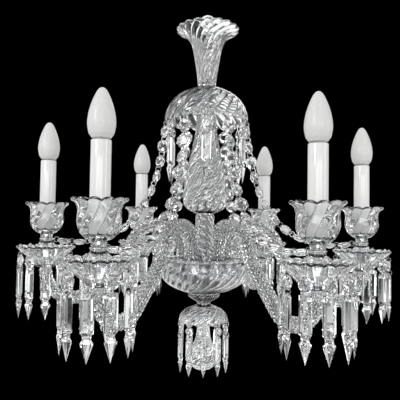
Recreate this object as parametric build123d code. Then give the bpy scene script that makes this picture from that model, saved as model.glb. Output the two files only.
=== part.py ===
from build123d import *
import os
from math import cos, radians, sin, sqrt

os.makedirs("parts", exist_ok=True)

# Crystal chandelier, six arms. Millimetres, +Z up, front towards -Y.
# The origin is the centre of the hole in the hanging eye, on the main axis.
# Turned lines are lists of (distance from the axis, height), from bottom to top.

# --- Counts ---------------------------------------------------------------
arm_count = 6
trumpet_lobes = 18
dome_lobes = 24
bell_lobes = 20
cup_lobes = 12
bobeche_lobes = 20
bobeche_drop_count = 10
bell_drop_count = 10

# --- Clearances and small hardware ----------------------------------------
rod_clearance = 0.6
thread_clearance = 0.1
seat_gap = 0.3
seat_disc = 1.5
washer_height = 2.5
wire_radius = 0.35
wire_hole_radius = 1.2
ring_bite = 0.3
glass_wall = 3.5
glass_floor = 5.0
lobe_overlap = 1.07
scallop_reach = 7.0

# --- Hanging eye and central rod ------------------------------------------
eye_hole_radius = 8.0
eye_wall = 5.0
eye_thickness = 8.0
eye_boss_radius = 8.5
eye_boss_length = 22.0
rod_radius = 5.0
rod_bore_radius = 3.5
rod_end_cover = 8.0
rod_socket_depth = 14.0
outlet_radius = 2.5
outlet_drop = 12.0
nut_height = 6.0
nut_radius = 8.5

# --- Central glass column, heights of each piece --------------------------
trumpet_rim_drop = 12.0
trumpet_height = 97.0
trumpet_rim_radius = 54.0
trumpet_foot_radius = 15.0
trumpet_line = [(18.0, 0.26), (22.0, 0.51), (25.7, 0.70), (31.5, 0.83), (42.0, 0.93)]
dome_radius = 70.0
dome_crown_height = 55.0
dome_skirt = 7.0
dome_lobe_depth = 7.0
dome_seat_radius = 17.0
dome_turns = [0, 15, 30, 45, 58, 68]
baluster_height = 208.0
baluster_top_radius = 14.0
baluster_foot_radius = 15.0
baluster_line = [(33.0, 0.05), (37.5, 0.13), (31.0, 0.36), (19.6, 0.62), (17.0, 0.77)]
stem_height = 72.5
stem_radius = 16.0
bowl_height = 58.0
bowl_rim_radius = 68.0
bowl_foot_radius = 26.0
bowl_line = [(46.5, 0.12), (66.0, 0.33), (71.5, 0.55), (71.5, 0.75)]
neck_height = 15.5
neck_rim_radius = 26.3
neck_foot_radius = 10.8
neck_line = [(13.5, 0.22), (21.0, 0.48), (26.3, 0.80)]
bell_height = 30.0
bell_rim_radius = 41.0
bell_lobe_depth = 4.0
bell_line = [(40.3, 0.20), (38.0, 0.43), (29.6, 0.70), (17.0, 0.88)]
finial_height = 83.0
finial_line = [(17.0, 0.06), (28.0, 0.25), (22.0, 0.45), (13.0, 0.61)]
finial_top_radius = 9.5
finial_cap_height = 13.0

# --- Hub that carries the arms --------------------------------------------
hub_plate_radius = 56.0
hub_plate_height = 5.0
hub_boss_radius = 13.0
hub_below_rim = 22.0
spacer_radius = 8.0
ferrule_wall = 1.3
ferrule_height = 20.0
ferrule_floor = 2.0
stub_radius = 4.0
stub_bore_radius = 2.4
stub_length = 11.0
stub_nut_radius = 7.0
stub_nut_height = 4.5
terminal_radius = 26.0
terminal_height = 18.0
terminal_lead_drop = 13.0

# --- Arms -----------------------------------------------------------------
arm_radius = 11.0
arm_bore_radius = 3.5
arm_root_radius = 38.0
candle_radius = 265.0
arm_crest_above_hub = 76.5
arm_crest_bend = 40.0
arm_shoulder_bend = 46.0
arm_steep_angle = 68.0
arm_waist_bend = 60.0
arm_steep_run = 13.168
arm_least_slope = 20.0
arm_end_bend = 45.0
arm_end_rise = 3.0
arm_end_below_root = 1.0
lead_radius = 1.4
lead_bend = 6.0

# --- Candles --------------------------------------------------------------
bobeche_height = 34.0
bobeche_rim_radius = 48.0
bobeche_foot_radius = 9.4
bobeche_line = [(16.5, 0.06), (21.0, 0.29), (33.0, 0.58), (43.0, 0.86)]
bobeche_corner = (1.5, 3.5)
bobeche_wall = 3.0
arm_to_bobeche = 2.0
bobeche_drop_radius = bobeche_line[-1][0]
bobeche_turns = [4.0, 28.0, 6.0, 30.0, 18.0, 32.0]
cup_rim_radius = 36.0
cup_line = [(23.0, 0.15), (27.2, 0.38), (26.5, 0.70), (29.5, 0.88)]
cup_height = 48.0
cup_stem_length = 15.0
cup_foot_radius = 13.0
cup_foot_height = 38.0
cup_stem_radius = 9.75
cup_foot_line = [(18.5, 26.0), (18.5, 29.0), (13.5, 33.0), (10.6, 38.0), (cup_stem_radius, 42.0)]
cup_knuckle = [(cup_stem_radius, 5.0), (10.6, 2.0)]
cup_floor_radius = 16.0
cup_floor = 6.0
nipple_radius = 4.0
nipple_bore_radius = 2.5
nipple_in_arm = 12.0
candle_nut_radius = 7.0
candle_nut_height = 4.0
holder_radius = 10.8
sleeve_radius = 12.5
sleeve_wall = 1.1
sleeve_height = 114.0
holder_below_sleeve = 2.0
cap_radius = 7.0
cap_length = 24.0
bulb_gap = 2.5
bulb_length = 62.5
bulb_neck_radius = 11.7
bulb_shape = [(15.6, 0.10), (17.5, 0.28), (16.2, 0.49), (12.6, 0.70), (7.6, 0.89), (4.2, 0.97)]
bulb_shoulder = (1, 1.4)
bulb_wall = 1.2
collar_wire_radius = 0.8
eyelet_radius = 2.0
eyelet_wire_radius = 0.5
eyelet_bite = 0.3
collar_above_foot = 11.0

# --- Crystals -------------------------------------------------------------
strand_octagon = 22.0
drop_octagon = 18.0
bell_octagon = 14.0
octagon_front_table = 0.42
octagon_back_table = 0.70
octagon_girdle = 0.08
octagon_front_depth = 0.22
octagon_back_depth = 0.10
octagon_hole_inset = 2.0
octagon_gap = 4.0
prism_hole_inset = 3.5
prism_gap = 3.0
prism_width = 15.5
prism_depth = 7.0
prism_body = 44.5
prism_notch = 11.0
prism_spear = 23.5
bell_prism_width = 11.5
bell_prism_depth = 6.0
bell_prism_body = 36.0
bell_prism_notch = 8.0
bell_prism_spear = 17.0
prism_bevel_run = 0.97
prism_waist_share = 0.62
prism_top_depth = 3.0
prism_top_bevel = 7.0
rim_hole_inset = 3.0
pin_eye_radius = 3.2
pin_head_radius = 1.6
pin_shank = 12.0
strand_top_lean = 8.0
strand_foot_reach = 134.0
strand_foot_share = 0.20
strand_slack = 1.18

# --- Levels, from the hanging eye down ------------------------------------
eye_radius = eye_hole_radius + eye_wall
rod_top = -eye_hole_radius - rod_end_cover
boss_foot = rod_top - rod_socket_depth
trumpet_rim = -trumpet_rim_drop
trumpet_foot = trumpet_rim - trumpet_height
dome_top = trumpet_foot - seat_disc
dome_rim = dome_top - dome_crown_height - dome_skirt
baluster_top = dome_top - glass_floor - seat_disc
baluster_foot = baluster_top - baluster_height
stem_top = baluster_foot - seat_disc
stem_foot = stem_top - stem_height
hub_boss_top = stem_foot - washer_height
bowl_rim = stem_foot
hub_top = bowl_rim - hub_below_rim
hub_foot = hub_top - hub_plate_height
bowl_foot = bowl_rim - bowl_height
neck_top = bowl_foot - seat_disc
neck_foot = neck_top - neck_height
bell_top = neck_foot - seat_disc
bell_rim = bell_top - bell_height
bell_nut_top = bell_top - glass_floor - seat_disc
finial_cap_top = bell_nut_top - nut_height
finial_top = finial_cap_top - finial_cap_height
finial_foot = finial_top - finial_height
rod_foot = finial_top + 2 * seat_disc
arm_root = hub_top + ferrule_floor
arm_crest = hub_top + arm_crest_above_hub
arm_end = arm_root - arm_end_below_root
bobeche_foot = arm_end + arm_to_bobeche
bobeche_rim = bobeche_foot + bobeche_height
cup_foot = bobeche_foot + glass_floor
cup_bottom = cup_foot + cup_foot_height + cup_stem_length
cup_rim = cup_bottom + cup_height
cup_inside = cup_bottom + cup_floor
holder_foot = cup_inside + candle_nut_height
sleeve_top = cup_inside + sleeve_height
holder_top = sleeve_top - holder_below_sleeve
bulb_foot = sleeve_top + bulb_gap
collar_level = cup_foot + cup_foot_height + cup_stem_length - collar_above_foot
collar_reach = cup_stem_radius + thread_clearance + collar_wire_radius
eyelet_reach = collar_reach + eyelet_radius - eyelet_bite
azimuths = [180 / arm_count + step * 360 / arm_count for step in range(arm_count)]


# --- Helpers --------------------------------------------------------------
def cylinder(radius, low, high):
    """A round bar on the Z axis between two heights."""
    return Pos(0, 0, low) * extrude(Circle(radius), high - low)


def tube(radius, bore, low, high):
    """A round tube on the Z axis between two heights."""
    return Pos(0, 0, low) * extrude(Circle(radius) - Circle(bore), high - low)


def hex_nut(radius, bore, low, high):
    """A six-sided nut on the Z axis between two heights."""
    return Pos(0, 0, low) * extrude(RegularPolygon(radius, 6) - Circle(bore), high - low)


def inset(line, wall):
    """A turned line moved inwards by a wall, square to the line."""
    moved = []
    for place, (r, z) in enumerate(line):
        before = line[max(place - 1, 0)]
        after = line[min(place + 1, len(line) - 1)]
        run = Vector(after[0] - before[0], after[1] - before[1]).normalized()
        moved.append((r - wall * run.Y, z + wall * run.X))
    return moved


def raised(line, foot, height):
    """Points given as (radius, share of a height), placed above a foot."""
    return [(radius, foot + share * height) for radius, share in line]


def vessel(outer, inner, bore):
    """A turned vessel with a floor and a bore through the floor, open at the top."""
    floor = inner[0][1]
    edges = [Spline(*outer), Line(outer[-1], inner[-1]), Spline(*inner)]
    edges += [Polyline(inner[0], (bore, floor), (bore, outer[0][1]), outer[0])]
    return revolve(Plane.XZ * make_face(edges), Axis.Z)


def plan_scallops(rim_radius, count, lobe_radius, low, high):
    """The stock to cut from a flared rim so that it has round lobes seen from above."""
    stock = tube(rim_radius + scallop_reach, rim_radius - scallop_reach, low, high)
    lobes = []
    for step in range(count):
        lobe = Pos(rim_radius - lobe_radius, 0, 0) * cylinder(lobe_radius, low, high)
        lobes.append(Rot(0, 0, step * 360 / count - 90) * lobe)
    return stock - lobes


def hanging_scallops(radius, count, depth, rim):
    """The stock to cut from an upright rim so that it has round lobes hanging down."""
    half_pitch = radius * sin(radians(180 / count))
    lobe_radius = (half_pitch**2 + depth**2) / (2 * depth)
    stock = tube(radius + glass_wall, radius - 2 * glass_wall, rim - depth, rim + depth)
    lobes = []
    for step in range(count):
        disc = Rot(0, 90, 0) * extrude(Circle(lobe_radius), radius + 2 * glass_wall)
        lobe = Pos(0, 0, rim + lobe_radius) * disc
        lobes.append(Rot(0, 0, step * 360 / count - 90) * lobe)
    return stock - lobes


def radial_holes(radius, level, angles):
    """Small holes through an upright wall, at a level and at the given azimuths."""
    holes = []
    for angle in angles:
        hole = Rot(0, 90, 0) * extrude(Circle(wire_hole_radius), 4 * glass_wall)
        hole = Pos(radius - 2 * glass_wall, 0, level) * hole
        holes.append(Rot(0, 0, angle - 90) * hole)
    return holes


def in_arm_plane(shape, azimuth):
    """Turn a shape made with its radius along +X to the azimuth of an arm."""
    return Rot(0, 0, azimuth - 90) * shape


def at_candle(shape, azimuth):
    """Move a shape made on the main axis to the axis of a candle, without turning it."""
    turn = radians(azimuth)
    return Pos(candle_radius * sin(turn), -candle_radius * cos(turn), 0) * shape


def save(name, solids):
    """Write one node, of one solid or of several separate ones."""
    if isinstance(solids, list):
        flat = [solid for item in solids for solid in item.solids()]
        solids = Compound(children=flat)
    export_step(solids, os.path.join("parts", name + ".step"))


# --- Crystals, made in the plane of an arm, outward along +X ---------------
def faceted(rings):
    """A closed solid with a flat facet between each two neighbours of each two rings."""
    faces = []
    for low, high in zip(rings, rings[1:]):
        for place in range(max(len(low), len(high))):
            after = place + 1
            corners = [low[place % len(low)], low[after % len(low)]]
            corners += [high[after % len(high)], high[place % len(high)]]
            single = [point for spot, point in enumerate(corners) if point not in corners[:spot]]
            faces.append(Face(Wire.make_polygon(single, close=True)))
    for end in (rings[0], rings[-1]):
        if len(end) > 1:
            faces.append(Face(Wire.make_polygon(end, close=True)))
    return Solid(Shell(faces))


def octagon_ring(inradius, x):
    """The corners of an upright octagon, flat at top and bottom."""
    corner = inradius / cos(radians(22.5))
    turns = [radians(22.5 + 45 * step) for step in range(8)]
    return [(x, corner * cos(turn), corner * sin(turn)) for turn in turns]


def hexagon_ring(width, depth, z):
    """The corners of a flat-fronted six-sided section."""
    half, side = depth / 2, width / 2
    face = side - prism_bevel_run * half
    return [(0, side, z), (half, face, z), (half, -face, z),
            (0, -side, z), (-half, -face, z), (-half, face, z)]


def cross_hole(z):
    """A small hole through a crystal, front to back."""
    return Pos(-10, 0, z) * Rot(0, 90, 0) * extrude(Circle(wire_hole_radius), 20)


def octagon(size):
    """A bevelled octagon, its flatter side outwards, with a hole at top and bottom."""
    half = size / 2
    girdle = octagon_girdle * size / 2
    rings = [octagon_ring(octagon_front_table * half, -girdle - octagon_front_depth * size),
             octagon_ring(half, -girdle),
             octagon_ring(half, girdle),
             octagon_ring(octagon_back_table * half, girdle + octagon_back_depth * size)]
    reach = half - octagon_hole_inset
    return faceted(rings) - [cross_hole(reach), cross_hole(-reach)]


def prism(width, depth, body, notch, spear):
    """A cut prism with a waist and a spear point, its top at z = 0."""
    waist = prism_waist_share * width
    waist_depth = prism_waist_share * depth
    quarter = notch / 4
    rings = [hexagon_ring(width, prism_top_depth, 0),
             hexagon_ring(width, depth, -prism_top_bevel),
             hexagon_ring(width, depth, -body),
             hexagon_ring(waist, waist_depth, -body - quarter),
             hexagon_ring(waist, waist_depth, -body - 2 * quarter),
             hexagon_ring(width, depth, -body - notch),
             [(0, 0, -body - notch - spear)]]
    return faceted(rings) - cross_hole(-prism_hole_inset)


def link_ring(span):
    """A round wire ring in the XZ plane that joins two holes a span apart."""
    return Rot(90, 0, 0) * Torus(span / 2 + ring_bite, wire_radius)


def pendant(octagon_size, prism_shape):
    """Octagon, ring and prism that hang from z = 0, the octagon's upper hole."""
    centre = -(octagon_size / 2 - octagon_hole_inset)
    lower_hole = 2 * centre
    span = octagon_hole_inset + prism_gap + prism_hole_inset
    prism_top = lower_hole - octagon_hole_inset - prism_gap
    return [Pos(0, 0, centre) * octagon(octagon_size),
            Pos(0, 0, lower_hole - span / 2) * link_ring(span),
            Pos(0, 0, prism_top) * prism_shape]


def eye_pin():
    """A headed wire pin from z = 0, its head, to an eye below."""
    eye_centre = -pin_shank - pin_eye_radius
    shank = cylinder(wire_radius, -pin_shank, 0)
    eye = Pos(0, 0, eye_centre) * Rot(90, 0, 0) * Torus(pin_eye_radius, wire_radius)
    return Sphere(pin_head_radius) + shank + eye


# --- Hanging eye, rod and its fittings ------------------------------------
def make_hanging_loop():
    ring = Rot(90, 0, 0) * extrude(Circle(eye_radius), eye_thickness / 2, both=True)
    boss = cylinder(eye_boss_radius, boss_foot, boss_foot + eye_boss_length)
    hole = Rot(90, 0, 0) * extrude(Circle(eye_hole_radius), eye_boss_radius + seat_gap, both=True)
    socket = cylinder(rod_radius + thread_clearance, boss_foot, rod_top)
    return ring + boss - hole - socket


def make_rod():
    rod = tube(rod_radius, rod_bore_radius, rod_foot, rod_top)
    outlet = Rot(90, 0, 0) * extrude(Circle(outlet_radius), 2 * rod_radius)
    upper = Pos(0, 0, boss_foot - outlet_drop) * outlet
    lower = Pos(0, 0, (hub_foot + bowl_foot) / 2) * outlet
    return rod - upper - lower


def make_rod_fittings():
    bore = rod_radius + thread_clearance
    seat = trumpet_foot + glass_floor
    disc = trumpet_foot_radius - seat_disc
    spacer_foot = bowl_foot + glass_floor
    cap = cylinder(finial_top_radius, finial_top, finial_cap_top)
    return [
        tube(nut_radius, bore, seat, seat + seat_disc),
        hex_nut(nut_radius, bore, seat + seat_disc, seat + seat_disc + nut_height),
        tube(disc, bore, dome_top, trumpet_foot),
        tube(baluster_top_radius, bore, baluster_top, baluster_top + seat_disc),
        tube(baluster_foot_radius - seat_disc, bore, stem_top, baluster_foot),
        tube(stem_radius - seat_disc, bore, hub_boss_top, stem_foot),
        tube(spacer_radius, bore, spacer_foot, hub_foot),
        tube(neck_rim_radius - 2 * seat_disc, bore, neck_top, bowl_foot),
        tube(neck_foot_radius - seat_disc / 2, bore, bell_top, neck_foot),
        tube(nut_radius, bore, bell_nut_top, bell_nut_top + seat_disc),
        hex_nut(nut_radius, bore, finial_cap_top, bell_nut_top),
        cap - cylinder(bore, rod_foot, finial_cap_top),
    ]


# --- Central glass column -------------------------------------------------
def make_trumpet():
    outer = [(trumpet_foot_radius, trumpet_foot)]
    outer += raised(trumpet_line, trumpet_foot, trumpet_height)
    outer += [(trumpet_rim_radius, trumpet_rim)]
    inner = inset(outer, glass_wall)
    inner[0] = (inner[0][0], trumpet_foot + glass_floor)
    glass = vessel(outer, inner, rod_radius + rod_clearance)
    lobe = trumpet_rim_radius * sin(radians(180 / trumpet_lobes)) * lobe_overlap
    cut = plan_scallops(trumpet_rim_radius, trumpet_lobes, lobe,
                        trumpet_rim - scallop_reach, trumpet_rim + scallop_reach)
    return glass - cut


def dome_line(radius, height, wall):
    """Half of an oval from the skirt up to the seat at the top."""
    level = dome_top - dome_crown_height
    line = []
    for turn in dome_turns:
        line.append((radius * cos(radians(turn)), level + height * sin(radians(turn))))
    return line + [(dome_seat_radius, dome_top - wall)]


def make_dome():
    outer = dome_line(dome_radius, dome_crown_height, 0)
    inner = dome_line(dome_radius - glass_wall, dome_crown_height - glass_floor, glass_floor)
    level = outer[0][1]
    bore = rod_radius + rod_clearance
    edges = [Line((outer[0][0], dome_rim), outer[0]), Spline(*outer)]
    edges += [Polyline(outer[-1], (bore, dome_top), (bore, dome_top - glass_floor), inner[-1])]
    edges += [Spline(*inner), Line(inner[0], (inner[0][0], dome_rim))]
    edges += [Line((inner[0][0], dome_rim), (outer[0][0], dome_rim))]
    glass = revolve(Plane.XZ * make_face(edges), Axis.Z)
    angles = [step * 180 / arm_count for step in range(2 * arm_count)]
    holes = radial_holes(dome_radius, dome_rim + rim_hole_inset, angles)
    return glass - hanging_scallops(dome_radius, dome_lobes, dome_lobe_depth, dome_rim) - holes


def make_baluster():
    outer = [(baluster_foot_radius, baluster_foot)]
    outer += raised(baluster_line, baluster_foot, baluster_height)
    outer += [(baluster_top_radius, baluster_top)]
    solid = [Spline(*outer), Polyline(outer[-1], (0, baluster_top), (0, baluster_foot), outer[0])]
    body = revolve(Plane.XZ * make_face(solid), Axis.Z)
    inner = inset(outer, glass_wall)[1:-1]
    inner = [(inner[0][0] / 2, baluster_foot + glass_floor)] + inner
    inner += [(baluster_top_radius - glass_wall, baluster_top - glass_floor)]
    ends = Polyline(inner[-1], (0, inner[-1][1]), (0, inner[0][1]), inner[0])
    hollow = revolve(Plane.XZ * make_face([Spline(*inner), ends]), Axis.Z)
    bore = cylinder(rod_radius + rod_clearance, baluster_foot, baluster_top)
    return body - hollow - bore


def make_stem():
    return tube(stem_radius, rod_radius + 2 * rod_clearance, stem_foot, stem_top)


def make_bowl():
    outer = [(bowl_foot_radius, bowl_foot)]
    outer += raised(bowl_line, bowl_foot, bowl_height)
    outer += [(bowl_rim_radius, bowl_rim)]
    inner = inset(outer, glass_wall)
    inner[0] = (bowl_foot_radius, bowl_foot + glass_floor)
    return vessel(outer, inner, rod_radius + rod_clearance)


def make_neck_dish():
    outer = [(neck_foot_radius, neck_foot)]
    outer += raised(neck_line, neck_foot, neck_height)
    outer += [(neck_rim_radius, neck_top)]
    edges = [Spline(*outer)]
    bore = rod_radius + rod_clearance
    edges += [Polyline(outer[-1], (bore, neck_top), (bore, neck_foot), outer[0])]
    return revolve(Plane.XZ * make_face(edges), Axis.Z)


def make_bell():
    outer = [(bell_rim_radius, bell_rim)]
    outer += raised(bell_line, bell_rim, bell_height)
    outer += [(neck_foot_radius, bell_top)]
    inner = inset(outer, glass_wall)[:-1]
    inner += [(nut_radius + seat_disc, bell_top - glass_floor)]
    bore = rod_radius + rod_clearance
    edges = [Spline(*outer), Line(outer[0], inner[0]), Spline(*inner)]
    edges += [Polyline(inner[-1], (bore, inner[-1][1]), (bore, bell_top), outer[-1])]
    glass = revolve(Plane.XZ * make_face(edges), Axis.Z)
    angles = [step * 360 / bell_drop_count for step in range(bell_drop_count)]
    holes = radial_holes(bell_rim_radius, bell_rim + rim_hole_inset, angles)
    return glass - hanging_scallops(bell_rim_radius, bell_lobes, bell_lobe_depth, bell_rim) - holes


def make_finial():
    outer = [(0, finial_foot)]
    outer += raised(finial_line, finial_foot, finial_height)
    outer += [(finial_top_radius, finial_top)]
    edges = [Spline(*outer, tangents=[(1, 0), (0, 1)])]
    edges += [Polyline(outer[-1], (0, finial_top), outer[0])]
    return revolve(Plane.XZ * make_face(edges), Axis.Z)


# --- Hub, ferrules and wiring ---------------------------------------------
def make_hub():
    plate = cylinder(hub_plate_radius, hub_foot, hub_top)
    boss = cylinder(hub_boss_radius, hub_top, hub_boss_top)
    holes = [cylinder(rod_radius + rod_clearance, hub_foot, hub_boss_top)]
    stub_hole = Pos(arm_root_radius, 0, 0) * cylinder(stub_radius + seat_gap, hub_foot, hub_top)
    holes += [in_arm_plane(stub_hole, azimuth) for azimuth in azimuths]
    return plate + boss - holes


def make_ferrules():
    outer = arm_radius + seat_gap + ferrule_wall
    cup = cylinder(outer, hub_top, hub_top + ferrule_height)
    cup -= cylinder(arm_radius + seat_gap, arm_root, hub_top + ferrule_height)
    cup += cylinder(stub_radius, hub_top - stub_length, hub_top)
    cup -= cylinder(stub_bore_radius, hub_top - stub_length, arm_root)
    nut = hex_nut(stub_nut_radius, stub_radius + thread_clearance,
                  hub_foot - stub_nut_height, hub_foot)
    solids = []
    for azimuth in azimuths:
        solids += [in_arm_plane(Pos(arm_root_radius, 0, 0) * cup, azimuth)]
        solids += [in_arm_plane(Pos(arm_root_radius, 0, 0) * nut, azimuth)]
    return solids


def follow(start, heading, moves):
    """A path of lines (length) and tangent arcs (radius, turn) in the plane of an arm."""
    edges = []
    point = Vector(*start)
    for move in moves:
        ahead = Vector(cos(radians(heading)), sin(radians(heading)))
        if len(move) == 1:
            edges.append(Line(point, point + ahead * move[0]))
        else:
            edges.append(JernArc(start=point, tangent=ahead, radius=move[0], arc_size=move[1]))
            heading += move[1]
        point = edges[-1] @ 1
    return Plane.XZ * Wire(edges)


def arc_step(radius, heading, turn):
    """How far an arc goes along and up, from its heading and its turn in degrees."""
    side = 1 if turn > 0 else -1
    start, end = radians(heading), radians(heading + turn)
    return (side * radius * (sin(end) - sin(start)), side * radius * (cos(start) - cos(end)))


def arm_bends(slope):
    """What the arm's four bends go along and up, for an angle of its gentler slope."""
    steep = arm_steep_angle
    return [arc_step(arm_crest_bend, 90, -90), arc_step(arm_shoulder_bend, 0, -steep),
            arc_step(arm_waist_bend, -steep, steep - slope),
            arc_step(arm_end_bend, -slope, slope + 90)]


def arm_slope_run(slope):
    """How long the gentler slope is when the arm ends at its right height."""
    fall = arm_crest - arm_crest_bend - arm_end + arm_end_rise
    fall += sum(bend[1] for bend in arm_bends(slope))
    return (fall - arm_steep_run * sin(radians(arm_steep_angle))) / sin(radians(slope))


def arm_span(slope):
    """How far from the axis the arm then ends."""
    along = arm_root_radius + sum(bend[0] for bend in arm_bends(slope))
    along += arm_steep_run * cos(radians(arm_steep_angle))
    return along + arm_slope_run(slope) * cos(radians(slope))


def arm_moves():
    """The arm's line: up, over a crest, down a steep and a gentler slope, and up to the end."""
    steep, low, high = arm_steep_angle, arm_least_slope, arm_steep_angle
    for _ in range(50):
        slope = (low + high) / 2
        low, high = (slope, high) if arm_span(slope) > candle_radius else (low, slope)
    rise = arm_crest - arm_crest_bend - arm_root
    return [(rise,), (arm_crest_bend, -90), (arm_shoulder_bend, -steep), (arm_steep_run,),
            (arm_waist_bend, steep - slope), (arm_slope_run(slope),),
            (arm_end_bend, slope + 90), (arm_end_rise,)]


def swept(section, path):
    """A section carried along a path that it stands square to."""
    return sweep(Plane(origin=path @ 0, z_dir=path % 0) * section, path=path)


def make_arm():
    path = follow((arm_root_radius, arm_root), 90, arm_moves())
    glass = swept(Circle(arm_radius) - Circle(arm_bore_radius), path)
    seat = cylinder(nipple_radius + seat_gap, arm_end - nipple_in_arm, arm_end)
    return glass - Pos(candle_radius, 0, 0) * seat


def make_lead():
    start = (terminal_radius + seat_gap, hub_foot - terminal_lead_drop)
    run = arm_root_radius - lead_bend - start[0]
    climb = arm_root - start[1] - lead_bend
    moves = [(run,), (lead_bend, 90), (climb,)] + arm_moves()
    moves += [(holder_foot - arm_end,)]
    return swept(Circle(lead_radius), follow(start, 0, moves))


def make_terminal():
    return tube(terminal_radius, spacer_radius + seat_gap, hub_foot - terminal_height, hub_foot)


# --- Candles --------------------------------------------------------------
def bobeche_hole_angles():
    """The azimuths of a bobeche's holes before it is turned in its seat."""
    return [step * 360 / bobeche_drop_count for step in range(bobeche_drop_count)]


def bobeche_drop_angles(azimuth, turn):
    """The azimuths of the drops on one bobeche: every hole but the one over the arm."""
    kept = []
    for angle in bobeche_hole_angles():
        off_arm = radians(angle + turn - azimuth - 180)
        side = bobeche_drop_radius * abs(sin(off_arm)) - prism_width / 2 * abs(cos(off_arm))
        if cos(off_arm) < 0 or side > arm_radius + seat_gap:
            kept.append(angle + turn)
    return kept


def make_bobeche():
    outer = [(bobeche_foot_radius, bobeche_foot)]
    outer += raised(bobeche_line, bobeche_foot, bobeche_height)
    outer += [(bobeche_rim_radius, bobeche_rim)]
    inner = inset(outer, bobeche_wall)
    inner[0] = (bobeche_foot_radius + glass_floor, cup_foot)
    inner[1] = (inner[1][0] + bobeche_corner[0], inner[1][1] + bobeche_corner[1])
    glass = vessel(outer, inner, nipple_radius + rod_clearance)
    lobe = bobeche_rim_radius * sin(radians(180 / bobeche_lobes)) * lobe_overlap
    cut = plan_scallops(bobeche_rim_radius, bobeche_lobes, lobe,
                        bobeche_rim - scallop_reach, bobeche_rim + scallop_reach)
    hole = cylinder(wire_hole_radius, bobeche_foot, bobeche_rim)
    hole = Pos(bobeche_drop_radius, 0, 0) * hole
    return glass - cut - [Rot(0, 0, angle - 90) * hole for angle in bobeche_hole_angles()]


def make_cup():
    foot = [(cup_foot_radius, cup_foot)]
    foot += [(radius, cup_foot + height) for radius, height in cup_foot_line]
    stem = [(radius, cup_bottom - drop) for radius, drop in cup_knuckle]
    body = [(cup_floor_radius, cup_bottom)] + raised(cup_line, cup_bottom, cup_height)
    body += [(cup_rim_radius, cup_rim)]
    inner = inset(body, glass_wall)
    inner[0] = (cup_floor_radius, cup_inside)
    bore = nipple_radius + rod_clearance
    edges = [Polyline(foot[0], foot[1], foot[2]), Spline(*foot[2:]), Line(foot[-1], stem[0])]
    edges += [Polyline(stem[0], stem[1], body[0]), Spline(*body), Line(body[-1], inner[-1])]
    edges += [Spline(*inner), Polyline(inner[0], (bore, cup_inside), (bore, cup_foot), foot[0])]
    glass = revolve(Plane.XZ * make_face(edges), Axis.Z)
    lobe = cup_rim_radius * sin(radians(180 / cup_lobes)) * lobe_overlap
    return glass - plan_scallops(cup_rim_radius, cup_lobes, lobe,
                                 cup_rim - scallop_reach, cup_rim + scallop_reach)


def make_candle_fittings(azimuth):
    """Nipple, nut and garland collar of one candle."""
    low = arm_end - nipple_in_arm + seat_gap
    nipple = tube(nipple_radius, nipple_bore_radius, low, holder_foot)
    collar_seat = tube(bobeche_foot_radius, nipple_radius + thread_clearance, arm_end, bobeche_foot)
    nut = hex_nut(candle_nut_radius, nipple_radius + thread_clearance, cup_inside, holder_foot)
    collar = Pos(0, 0, collar_level) * Torus(collar_reach, collar_wire_radius)
    eyelet = Pos(-eyelet_reach, 0, collar_level) * Torus(eyelet_radius, eyelet_wire_radius)
    ring = in_arm_plane(Pos(candle_radius, 0, 0) * (collar + eyelet), azimuth)
    return [at_candle(solid, azimuth) for solid in (nipple, collar_seat, nut)] + [ring]


def make_lampholder():
    body = cylinder(holder_radius, holder_foot, holder_top)
    body -= cylinder(cap_radius + seat_gap, bulb_foot - cap_length - seat_gap, holder_top)
    return body


def make_sleeve():
    return tube(sleeve_radius, sleeve_radius - sleeve_wall, cup_inside, sleeve_top)


def bulb_line(shrink):
    """The torpedo of the bulb, from its neck up to its tip."""
    line = [(bulb_neck_radius, bulb_foot)] + raised(bulb_shape, bulb_foot, bulb_length)
    line = inset(line, shrink) if shrink else line
    line[0] = (line[0][0], bulb_foot)
    return line + [(0, bulb_foot + bulb_length - shrink)]


def make_bulb():
    outer, inner = bulb_line(0), bulb_line(bulb_wall)
    ends = [Line(outer[0], inner[0]), Line(outer[-1], inner[-1])]
    lines = [Spline(*line, tangents=[bulb_shoulder, (-1, 0)]) for line in (outer, inner)]
    glass = revolve(Plane.XZ * make_face(lines + ends), Axis.Z)
    flange = cylinder(bulb_neck_radius - seat_disc, bulb_foot - seat_disc, bulb_foot)
    cap = cylinder(cap_radius, bulb_foot - cap_length, bulb_foot - seat_disc)
    return [glass, flange + cap]


# --- Garlands -------------------------------------------------------------
def strand_ends():
    """The holes that a strand hangs between, as (distance from the axis, height)."""
    start = (dome_radius - glass_wall / 2, dome_rim + rim_hole_inset)
    return start, (candle_radius - eyelet_reach - wire_radius, collar_level)


def strand_steps():
    """How far apart the holes of a ring and of an octagon are."""
    return [octagon_gap + 2 * octagon_hole_inset, strand_octagon - 2 * octagon_hole_inset]


def strand_octagons():
    """How many octagons a strand has: as many as its slack allows."""
    (r0, z0), (r3, z3) = strand_ends()
    length = strand_slack * sqrt((r3 - r0)**2 + (z3 - z0)**2)
    return int((length - strand_steps()[0]) / sum(strand_steps()))


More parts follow.
